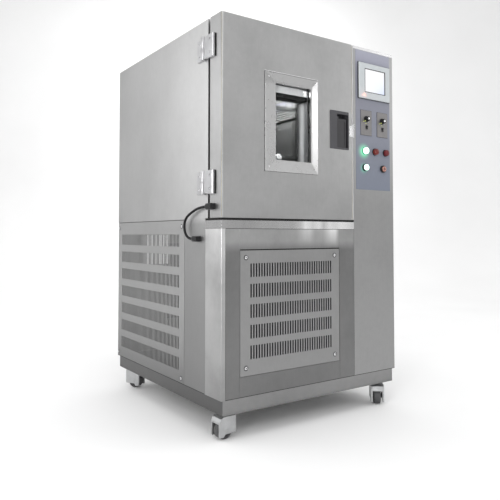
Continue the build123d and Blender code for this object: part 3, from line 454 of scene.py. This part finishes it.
def sweep_floor():
    bm = bmesh.new()
    prof = [(-7.0, 0.0)] + [(3.2, 0.0)]
    for i in range(1, 13):
        a = math.pi / 2 * i / 12
        prof.append((3.2 + 1.6 * math.sin(a), 1.6 - 1.6 * math.cos(a)))
    prof.append((4.8, 7.0))
    ca, sa = math.cos(yaw), math.sin(yaw)
    rows = []
    for u in [-9 + 18 * i / 12 for i in range(13)]:
        rows.append([bm.verts.new((u * ca + d * sa, -u * sa + d * ca, z)) for d, z in prof])
    for a, b in zip(rows, rows[1:]):
        for i in range(len(prof) - 1):
            bm.faces.new((a[i], b[i], b[i + 1], a[i + 1]))
    m, nt, b = new_mat("studio_floor")
    cl = noise_tex(nt, coords(nt), 1.2, 3.0, 0.5)
    nt.links.new(ramp(nt, cl, [(0.3, (0.90, 0.90, 0.90)), (0.7, (0.93, 0.93, 0.93))]), b.inputs["Base Color"])
    b.inputs["Roughness"].default_value = 0.7
    b.inputs["Specular IOR Level"].default_value = 0.2
    o = mesh_obj("studio_floor", bm, m, True)


sweep_floor()

world = bpy.data.worlds.new("World")
bpy.context.scene.world = world
world.use_nodes = True
wt = world.node_tree
wc = N(wt, "ShaderNodeTexCoord")
ws = N(wt, "ShaderNodeSeparateXYZ")
wt.links.new(wc.outputs["Generated"], ws.inputs[0])
wr = ramp(wt, ws.outputs["Z"], [(0.0, 0.66), (0.12, 0.74), (0.30, 0.80), (0.60, 0.95), (1.0, 1.0)])
wt.links.new(wr, wt.nodes["Background"].inputs[0])
wt.nodes["Background"].inputs[1].default_value = 0.98
bpy.context.scene.view_settings.view_transform = "Standard"


def area(name, loc, target, size, power, col=(1, 1, 1)):
    d = bpy.data.lights.new(name, "AREA")
    d.shape = "RECTANGLE"
    d.size, d.size_y = size
    d.energy = power
    d.color = col
    o = bpy.data.objects.new(name, d)
    bpy.context.scene.collection.objects.link(o)
    o.location = loc
    o.rotation_mode = "QUATERNION"
    o.rotation_quaternion = (Vector(target) - Vector(loc)).to_track_quat("-Z", "Y")
    return o


area("side_panel", (-2.35, 1.2, 1.55), (-0.43, -0.1, 0.95), (1.2, 1.1), 9)
area("key_left", (-2.7, -3.2, 2.5), (0.0, -0.3, 0.8), (1.0, 1.0), 16)
area("top", (0.0, -0.6, 3.6), (0, 0, 0.8), (3.0, 3.0), 30)
area("corner_strip", (-3.1, -2.35, 1.0), (-0.4, -0.4, 0.85), (0.5, 2.4), 40)
area("glint_right", (3.4, -2.2, 2.0), (0.3, -0.4, 1.0), (0.6, 1.0), 8)
area("back_wash", (1.5, 3.0, 3.2), (2.2, 4.6, 1.2), (3.0, 1.5), 25)
area("chamber_lamp", P(260, 330, 1198), P(330, 340, 900), (0.25, 0.2), 2.0)

# ---------------------------------------------------------------- door cable
CABLE_D = 9.0
CABLE = [(-11.0, 80.0, 644.0), (-11.5, 128.0, 643.0), (-13.5, 178.0, 628.0), (-15.0, 219.0, 608.8),
         (-15.5, 232.3, 581.6), (-14.5, 225.7, 552.0), (-12.0, 202.1, 533.0), (-11.0, 175.0, 533.0)]


def route_points(pts):
    cu = bpy.data.curves.new("route", "CURVE")
    cu.dimensions = "3D"
    sp = cu.splines.new("NURBS")
    sp.points.add(len(pts) - 1)
    for p, q in zip(sp.points, pts):
        p.co = (*P(*q), 1.0)
    sp.order_u = 3
    sp.use_endpoint_u = True
    sp.resolution_u = 24
    ob = bpy.data.objects.new("route", cu)
    me = bpy.data.meshes.new_from_object(ob)
    out = [v.co.copy() for v in me.vertices]
    bpy.data.objects.remove(ob)
    bpy.data.meshes.remove(me)
    return out


def tube(name, pts, radius, mat, sides=20, close=True):
    """Tube mesh along points with a carried frame."""
    bm = bmesh.new()
    rings = []
    up = Vector((1, 0, 0))
    for i, p in enumerate(pts):
        t = (pts[min(i + 1, len(pts) - 1)] - pts[max(i - 1, 0)]).normalized()
        up = (up - t * up.dot(t)).normalized()
        side = t.cross(up)
        r = radius[i] if isinstance(radius, (list, tuple)) else radius
        rings.append([bm.verts.new(p + (up * math.cos(2 * math.pi * k / sides) + side * math.sin(2 * math.pi * k / sides)) * r)
                      for k in range(sides)])
    for a, b in zip(rings, rings[1:]):
        for k in range(sides):
            bm.faces.new((a[k], a[(k + 1) % sides], b[(k + 1) % sides], b[k]))
    if close:
        bm.faces.new(list(reversed(rings[0])))
        bm.faces.new(rings[-1])
    bmesh.ops.recalc_face_normals(bm, faces=bm.faces)
    return mesh_obj(name, bm, mat, True)


cable_pts = route_points(CABLE)
cable = tube("heater_cable", cable_pts, CABLE_D / 2000.0, M["cable"], 24)
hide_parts("door_cable")
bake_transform(cable)


# ---------------------------------------------------------------- small pieces
def dress(o, body, bevel=0.0, seg=2, replace=()):
    if bevel:
        bv = o.modifiers.new("edge", "BEVEL")
        bv.width, bv.segments = bevel / 1000.0, seg
        bv.limit_method, bv.angle_limit = "ANGLE", math.radians(40)
        bv.harden_normals = True
    if replace:
        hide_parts(*replace)
    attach(o, body)
    return o


def block(name, a, b, mat, body, bevel=0.3, seg=2):
    bm = bmesh.new()
    bmesh.ops.create_cube(bm, size=1.0)
    for v in bm.verts:
        v.co = P(*[a[k] if v.co[k] < 0 else b[k] for k in range(3)])
    return dress(mesh_obj(name, bm, M[mat]), body, bevel, seg)


def ring(name, outer, inner, y0, y1, mat, body, bevel=0.3):
    """Rectangular ring standing in the X-Z plane; outer and inner are (x0, x1, z0, z1)."""
    bm = bmesh.new()

    def loop(r, y):
        return [bm.verts.new(P(x, y, z)) for x, z in ((r[0], r[2]), (r[1], r[2]), (r[1], r[3]), (r[0], r[3]))]
    of, inf, ob, inb = loop(outer, y0), loop(inner, y0), loop(outer, y1), loop(inner, y1)
    for k in range(4):
        n = (k + 1) % 4
        bm.faces.new((of[k], of[n], inf[n], inf[k]))
        bm.faces.new((ob[n], ob[k], inb[k], inb[n]))
        bm.faces.new((of[n], of[k], ob[k], ob[n]))
        bm.faces.new((inf[k], inf[n], inb[n], inb[k]))
    bmesh.ops.recalc_face_normals(bm, faces=bm.faces)
    return dress(mesh_obj(name, bm, M[mat]), body, bevel)


def lathe(name, x, z, prof, mat, body, seg=48, flute=0, depth=0.0, replace=(), smooth=True):
    """Turned piece about a line along Y through (x, z); prof runs (y, r) from back to front, radius 0 at both ends."""
    bm = bmesh.new()
    rows = []
    for y, r in prof:
        if r == 0:
            rows.append([bm.verts.new(P(x, y, z))])
            continue
        row = []
        for k in range(seg):
            a = 2 * math.pi * k / seg
            q = r - (depth * (0.5 - 0.5 * math.cos(a * flute)) ** 2 if flute and r > depth * 3 else 0.0)
            row.append(bm.verts.new(P(x + q * math.cos(a), y, z + q * math.sin(a))))
        rows.append(row)
    for a, b in zip(rows, rows[1:]):
        for k in range(seg):
            n = (k + 1) % seg
            if len(a) == 1:
                bm.faces.new((a[0], b[k], b[n]))
            elif len(b) == 1:
                bm.faces.new((a[k], b[0], a[n]))
            else:
                bm.faces.new((a[k], b[k], b[n], a[n]))
    bmesh.ops.recalc_face_normals(bm, faces=bm.faces)
    o = mesh_obj(name, bm, M[mat], smooth)
    o.data.set_sharp_from_angle(angle=math.radians(38))
    return dress(o, body, 0, 2, replace)


def dome(x, z, r, y_face, high, steps=5):
    """Profile points of a shallow crown from radius r at y_face out to the middle."""
    R = (r * r + high * high) / (2 * high)
    return [(y_face - high + R - math.sqrt(R * R - (r * (1 - k / steps)) ** 2), r * (1 - k / steps)) for k in range(steps + 1)]


# pilot lamps: black collar and moulded lens; the lit lamp's collar glows green by emission, a painted glow
LAMPS = ((673.7, 883.5, "lamp_green"), (731.0, 883.5, "lamp_red"), (792.5, 883.5, "lamp_red2"))
for i, (x, z, mat) in enumerate(LAMPS, 1):
    lathe(f"lamp_collar_{i}", x, z, [(-0.6, 0), (-0.6, 14.2), (-3.2, 14.2), (-4.3, 13.6), (-4.4, 12.8), (-4.4, 0)], "collar_glow_painted" if i == 1 else "black",
          "cabinet", replace=("pilot_lamps",))
    lathe(f"lamp_lens_{i}", x, z, [(-4.3, 0), (-4.3, 12.5), (-12.4, 12.4), (-13.6, 12.1)] + dome(x, z, 11.6, -14.4, 3.5), mat,
          "cabinet", seg=72, flute=36, depth=0.35, replace=("pilot_lamps",))

# thermostat knobs: skirt, fluted cap, bright insert, index mark
for i, (kx, kz) in enumerate(((681.0, 1012.0), (772.0, 1012.0))):
    side = ("left", "right")[i]
    body = "thermostat_knob_" + side
    lathe(f"knob_skirt_{side}", kx, kz, [(-3.1, 0), (-3.1, 12.4), (-5.6, 12.4), (-6.5, 11.6), (-6.6, 9.0), (-6.6, 0)], "black", body,
          replace=(body,))
    lathe(f"knob_cap_{side}", kx, kz, [(-6.4, 0), (-6.4, 9.6), (-17.2, 9.2), (-18.6, 8.4), (-19.0, 7.0), (-18.8, 5.2), (-18.8, 0)],
          "black", body, seg=108, flute=18, depth=0.9, replace=(body,))
    lathe(f"knob_insert_{side}", kx, kz, [(-18.5, 0), (-18.5, 5.0)] + dome(kx, kz, 4.6, -19.2, 0.7), "bright", body,
          replace=(body,))
    o = block(f"knob_mark_{side}", (kx - 10.6, -7.6, kz - 11.0), (kx - 6.4, -5.2, kz - 6.2), "pointer", body, 0.6)

for i, (x0, x1) in enumerate(((652.0, 712.0), (745.0, 805.0)), 1):
    ring(f"plate_edge_{i}", (x0 - 1.0, x1 + 1.0, 946.0, 1048.0), (x0 + 0.1, x1 - 0.1, 947.1, 1046.9), -2.0, -0.7, "charcoal", "cabinet",
         0.15)
    kx = (681.0, 772.0)[i - 1]
    for k, (a, b) in enumerate((((kx - 17.0, 1000.2), (kx - 11.0, 1002.6)), ((kx - 4.0, 993.6), (kx + 2.0, 996.0)), ((kx + 11.0, 1000.2), (kx + 15.0, 1001.8))), 1):
        block(f"scale_mark_{i}_{k}", (a[0], -2.95, a[1]), (b[0], -2.5, b[1]), "pointer" if k < 3 else "pale", "cabinet", 0.12)

# screen surround: dark boot behind the moulding, painted shade for the dark edge round the bezel; black mask round the
# picture, painted shade for the recess round it; small power light
bz = (637.0, 815.5, 1094.0, 1238.0)
lcd = (671.0, 785.0, 1122.0, 1214.0)
ring("screen_shadow_boot", (bz[0] - 0.9, bz[1] + 0.9, bz[2] - 0.9, bz[3] + 0.9), (bz[0] + 0.1, bz[1] - 0.1, bz[2] + 0.1, bz[3] - 0.1), -5.6, -0.7,
     "black", "cabinet", 0.25)
ring("screen_shadow_mask", (lcd[0] - 2.4, lcd[1] + 2.4, lcd[2] - 2.4, lcd[3] + 2.4), (lcd[0] + 0.4, lcd[1] - 0.4, lcd[2] + 0.4, lcd[3] - 0.4),
     -9.35, -6.1, "charcoal", "cabinet", 0.25)
lathe("power_light", 666.0, 1110.0, [(-8.6, 0), (-8.6, 2.6), (-9.3, 2.6)] + dome(0, 0, 2.3, -9.6, 0.8, 4), "led_red", "cabinet", 24)
# bright folded top edge of the column, and the pale seal between door and column, whose pale colour is also a painted
# highlight for the lit edges of that gap
block("column_top_edge", (612.4, -0.45, 1289.0), (839.0, 0.4, 1299.2), "bright", "cabinet", 0.35)
block("jamb_seal_highlight", (608.7, 0.9, 606.5), (611.35, 9.0, 1298.0), "pale", "cabinet", 0.4)
# polished latch cover at the door's free edge
block("latch_cover", (592.0, -1.6, 933.0), (607.0, 0.3, 975.0), "bright", "door", 0.9, 3)

# window: pale tunnel lining, a pale lamp box across its top with a black block under it, painted shade for the shadow
# beneath the box; frame screws
WO = (221.4, 385.0, 813.5, 1088.0)
ring("tunnel_lining", (WO[0] + 2.6, WO[1] - 0.1, WO[2] + 0.1, WO[3] - 0.1), (WO[0] + 3.8, WO[1] - 1.3, WO[2] + 1.3, WO[3] - 1.3), 9.5, 31.0,
     "jamb", "door", 0.2)
ring("tunnel_lining_rear", (WO[0] + 2.6, WO[1] - 0.1, WO[2] + 0.1, WO[3] - 0.1), (WO[0] + 3.8, WO[1] - 1.3, WO[2] + 1.3, WO[3] - 1.3), 31.3, 57.6,
     "pale", "door", 0.2)
# fine black bead round the window frame, painted shade for the shadow line round it; polished drip edge over it
ring("frame_shadow_bead", (177.2, 425.3, 771.2, 1126.8), (178.1, 424.4, 772.1, 1125.9), -0.9, 0.2, "rubber", "door", 0.1)
block("frame_drip_edge", (178.3, -3.4, 1126.9), (424.2, 0.2, 1128.8), "bright", "door", 0.3)
block("window_lamp_box", (WO[0] + 4.0, 11.5, WO[3] - 27.5), (WO[1] - 1.5, 34.0, WO[3] - 1.5), "pale", "door", 0.9)
block("window_lamp_shadow_block", (WO[0] + 4.0, 13.0, WO[3] - 44.0), (WO[1] - 1.5, 56.5, WO[3] - 28.0), "rubber", "door", 0.8)
block("window_lamp_end", (WO[1] - 22.0, 10.4, WO[3] - 26.0), (WO[1] - 4.0, 11.4, WO[3] - 4.0), "bright", "door", 0.35)
# polished clip on the tunnel floor, and the small lamp glass under the chamber roof
lathe("tunnel_clip", WO[0] + 33.0, WO[2] + 14.2, [(30.0, 0), (30.0, 11.4), (22.0, 12.2), (16.0, 12.0)] + dome(0, 0, 11.5, 14.0, 4.5), "bright", "door")
for k, (x, z) in enumerate(((194.5, 789.0), (408.0, 789.0), (194.5, 1109.0), (408.0, 1109.0)), 1):
    lathe(f"window_screw_{k}", x, z, [(1.0, 0), (1.0, 2.0), (-3.4, 2.0), (-3.4, 3.6), (-4.4, 3.4)] + dome(0, 0, 2.8, -4.8, 0.7, 3), "screw", "door",
          24)

# hinges: dark end pads, painted shade at the front ends of the door leaves, and leaf screws
for h, (z0, z1) in enumerate(((1155.5, 1237.5), (686.5, 768.5)), 1):
    block(f"hinge_shadow_pad_{h}", (-4.2, 36.6, z0 + 1), (-0.3, 38.4, z1 - 1), "rubber", "door", 0.5)
    for k, z in enumerate((z0 + 18, z1 - 18), 1):
        bm_prof = [(0, 0), (0, 3.9), (1.2, 3.7), (1.7, 2.2), (1.8, 0)]

        def turned(name, x0, y, z, body):
            bm = bmesh.new()
            rows = []
            for d, r in bm_prof:
                if r == 0:
                    rows.append([bm.verts.new(P(x0 - d, y, z))])
                else:
                    rows.append([bm.verts.new(P(x0 - d, y + r * math.cos(2 * math.pi * q / 24), z + r * math.sin(2 * math.pi * q / 24))) for q in range(24)])
            for a, b in zip(rows, rows[1:]):
                for q in range(24):
                    n = (q + 1) % 24
                    if len(a) == 1:
                        bm.faces.new((a[0], b[q], b[n]))
                    elif len(b) == 1:
                        bm.faces.new((a[q], b[0], a[n]))
                    else:
                        bm.faces.new((a[q], b[q], b[n], a[n]))
            bmesh.ops.recalc_face_normals(bm, faces=bm.faces)
            o = mesh_obj(name, bm, M["screw"], True)
            o.data.set_sharp_from_angle(angle=math.radians(38))
            dress(o, body)
        turned(f"hinge_screw_door_{h}_{k}", -9.2, 57.0, z, "door")
        turned(f"hinge_screw_cabinet_{h}_{k}", -5.2, 136.0, z, "cabinet")


block("chamber_lamp_glass", (493.8, 286.0, 1080.0), (499.3, 388.0, 1114.0), "lamp_glass", "cabinet", 1.6, 3)
block("chamber_lamp_rim", (497.6, 282.0, 1076.0), (499.4, 392.0, 1118.0), "jamb", "cabinet", 0.4)
# dark sheet behind the rear vents: painted shade for the dark seen through the slots
block("rear_shadow_sheet", (232.0, 890.2, 146.0), (612.0, 893.6, 506.0), "rubber", "cabinet", 0.8)
# pale conduits behind the side vents, glowing by emission: painted light for the bright bars seen through the slots
for k, x in enumerate((140.0, 162.0, 182.0, 206.0, 223.0, 242.0), 1):
    block(f"conduit_{k}", (x - 4.6, 879.0, 408.0), (x + 4.6, 888.2, 548.0), "conduit_glow_painted", "cabinet", 3.2, 4)
# black strips in the grille's top gap, under the sill band and along the foot of the body: painted shade for the
# shadow lines there
for n, a, b in (("grille_shadow_top", (76.0, 1.4, 494.2), (529.0, 13.0, 503.0)), ("band_shadow_strip", (17.0, -0.35, 567.5), (610.0, 0.15, 568.8)),
                ("foot_shadow_front", (17.0, -0.35, 0.1), (610.0, 0.15, 1.8)), ("foot_shadow_column", (612.0, -0.35, 0.1), (839.0, 0.15, 1.8)),
                ("foot_shadow_side", (-0.35, 108.0, 0.1), (0.15, 895.0, 1.8))):
    block(n, a, b, "rubber", "cabinet", 0.12)
# black strip across the gap under the door: painted shade for the dark gap
block("sill_shadow_strip", (-0.4, -0.9, 597.7), (610.0, 0.6, 604.85), "rubber", "cabinet", 0.5)
# dark sheets inside the right wall and the column: painted shade for the dark inside the machine compartment
block("compartment_shadow_lining", (833.5, 132.0, 12.0), (837.8, 838.0, 562.0), "rubber", "cabinet", 0.8)
block("column_shadow_lining", (833.5, 4.0, 12.0), (837.8, 88.0, 562.0), "rubber", "cabinet", 0.8)


def panel_screw(name, at, out):
    """Cup washer and crowned head with a crossed slot; out is the way the head looks."""
    w = Vector(out)
    u = Vector((0, 0, 1)).cross(w).normalized()
    v = w.cross(u)
    o0 = Vector(P(*at))

    def turned(prof, seg=40):
        bm = bmesh.new()
        rows = []
        for h, r in prof:
            if r == 0:
                rows.append([bm.verts.new(o0 + w * (h / 1000.0))])
            else:
                rows.append([bm.verts.new(o0 + w * (h / 1000.0) + (u * math.cos(2 * math.pi * q / seg) + v * math.sin(2 * math.pi * q / seg))
                                          * (r / 1000.0)) for q in range(seg)])
        for a, b in zip(rows, rows[1:]):
            for q in range(seg):
                n = (q + 1) % seg
                if len(a) == 1:
                    bm.faces.new((a[0], b[q], b[n]))
                elif len(b) == 1:
                    bm.faces.new((a[q], b[0], a[n]))
                else:
                    bm.faces.new((a[q], b[q], b[n], a[n]))
        bmesh.ops.recalc_face_normals(bm, faces=bm.faces)
        return bm
    cup = mesh_obj(name + "_cup", turned([(0.05, 0), (0.05, 9.2), (0.5, 9.1), (1.5, 7.0), (1.55, 6.3), (0.7, 5.6), (0.6, 0)]), M["cup"], True)
    cup.data.set_sharp_from_angle(angle=math.radians(38))
    dress(cup, "cabinet")
    head = mesh_obj(name + "_head", turned([(0.62, 0), (0.62, 5.5), (0.9, 5.6), (1.7, 4.3), (2.2, 2.6), (2.35, 1.0), (2.35, 0)]), M["screw"], True)
    head.data.set_sharp_from_angle(angle=math.radians(38))
    dress(head, "cabinet")
    for tag, a, b in (("a", u, v), ("b", v, u)):
        bm = bmesh.new()
        bmesh.ops.create_cube(bm, size=1.0)
        for q in bm.verts:
            c = q.co.copy()
            q.co = o0 + a * (c.x * 0.0062) + b * (c.y * 0.0011) + w * (0.00235 + c.z * 0.00012)
        bmesh.ops.recalc_face_normals(bm, faces=bm.faces)
        dress(mesh_obj(f"{name}_slot_{tag}", bm, M["rubber"]), "cabinet", 0.03, 1)


def glow(name, at, power, col, size):
    d = bpy.data.lights.new(name, "POINT")
    d.energy, d.color, d.shadow_soft_size = power, col, size
    o = bpy.data.objects.new(name, d)
    bpy.context.scene.collection.objects.link(o)
    o.location = at


for k, (x, z) in enumerate(((99.5, 470.0), (507.5, 470.0), (99.5, 95.5), (507.5, 95.5)), 1):
    panel_screw(f"grille_screw_{k}", (x, 0.4, z), (0, -1, 0))
for k, (y, z) in enumerate(((281.0, 578.0), (883.0, 577.0), (281.0, 18.5), (883.0, 19.0)), 1):
    panel_screw(f"vent_screw_{k}", (0.2, y, z), (-1, 0, 0))
# stop button: copper-toned ring round a dull red crown
lathe("stop_ring", 776.5, 816.5, [(-8.6, 0), (-8.6, 10.2), (-12.0, 10.2), (-12.8, 9.4), (-12.9, 7.4), (-11.9, 6.6), (-11.8, 0)], "ring_copper", "stop_button",
      replace=("stop_button",))
lathe("stop_crown", 776.5, 816.5, [(-11.7, 0), (-11.7, 6.3), (-12.2, 6.2)] + dome(0, 0, 5.9, -12.3, 0.7), "cap_stop", "stop_button",
      replace=("stop_button",))
glow("glow_power", P(666.0, -13.0, 1108.0), 0.006, (1.0, 0.25, 0.15), 0.003)
